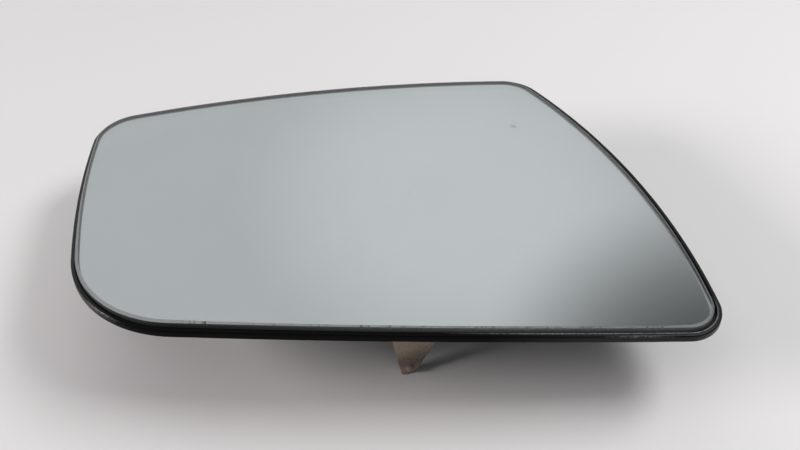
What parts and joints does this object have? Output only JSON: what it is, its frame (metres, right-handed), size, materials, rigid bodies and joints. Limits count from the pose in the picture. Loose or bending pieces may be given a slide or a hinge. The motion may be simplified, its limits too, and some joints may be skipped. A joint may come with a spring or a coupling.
{
  "type": "car door mirror glass",
  "caption": "Left-hand car door mirror glass: convex bevelled mirror bonded to a ribbed plastic carrier, with a rear clip ring whose snap fingers hold it on the mirror actuator.",
  "frame": {"origin": "on the actuator axis, at the mouth of the clip ring's collar", "axes": "+Z out of the glass face along the actuator axis, +X along the mirror towards the car, +Y towards the mirror's top edge"},
  "size_m": [0.1849, 0.1215, 0.0326],
  "materials": {
    "silvered_glass": "polished",
    "adhesive": "matte",
    "black_plastic": "satin",
    "natural_nylon": "satin"
  },
  "bodies": {
    "root": {"mirror_glass": "silvered_glass", "adhesive_film": "adhesive", "carrier_plate": "black_plastic", "clip_ring": "natural_nylon"}
  },
  "joints": []
}
